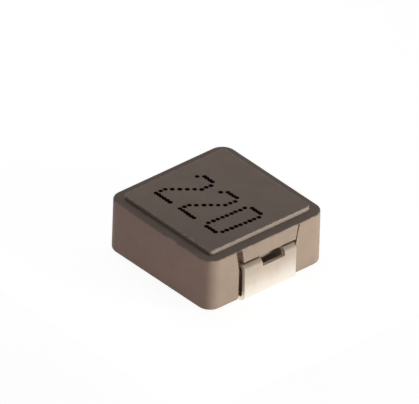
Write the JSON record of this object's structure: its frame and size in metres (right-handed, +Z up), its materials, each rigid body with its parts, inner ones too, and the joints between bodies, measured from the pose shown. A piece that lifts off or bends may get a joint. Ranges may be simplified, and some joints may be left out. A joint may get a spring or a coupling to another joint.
{
  "type": "shielded smd inductor",
  "caption": "Square moulded power inductor for surface mounting, with a raised top panel, a coil pressed inside and a folded solder terminal at each end.",
  "frame": {"origin": "centre of the plane that the solder feet stand on, under the middle of the block", "axes": "+X towards one terminal, +Y along the block's width, +Z up from the board through the raised panel"},
  "size_m": [0.007, 0.0066, 0.0028],
  "materials": {
    "pressed_powder": "matte, fine grained pressed iron powder with a thin coat",
    "enamelled_copper": "copper wire under clear enamel",
    "tinned_copper": "matte tin plate"
  },
  "bodies": {
    "root": {"moulded_body": "pressed_powder", "coil": "enamelled_copper", "terminal_right": "tinned_copper", "terminal_left": "tinned_copper"}
  },
  "joints": []
}
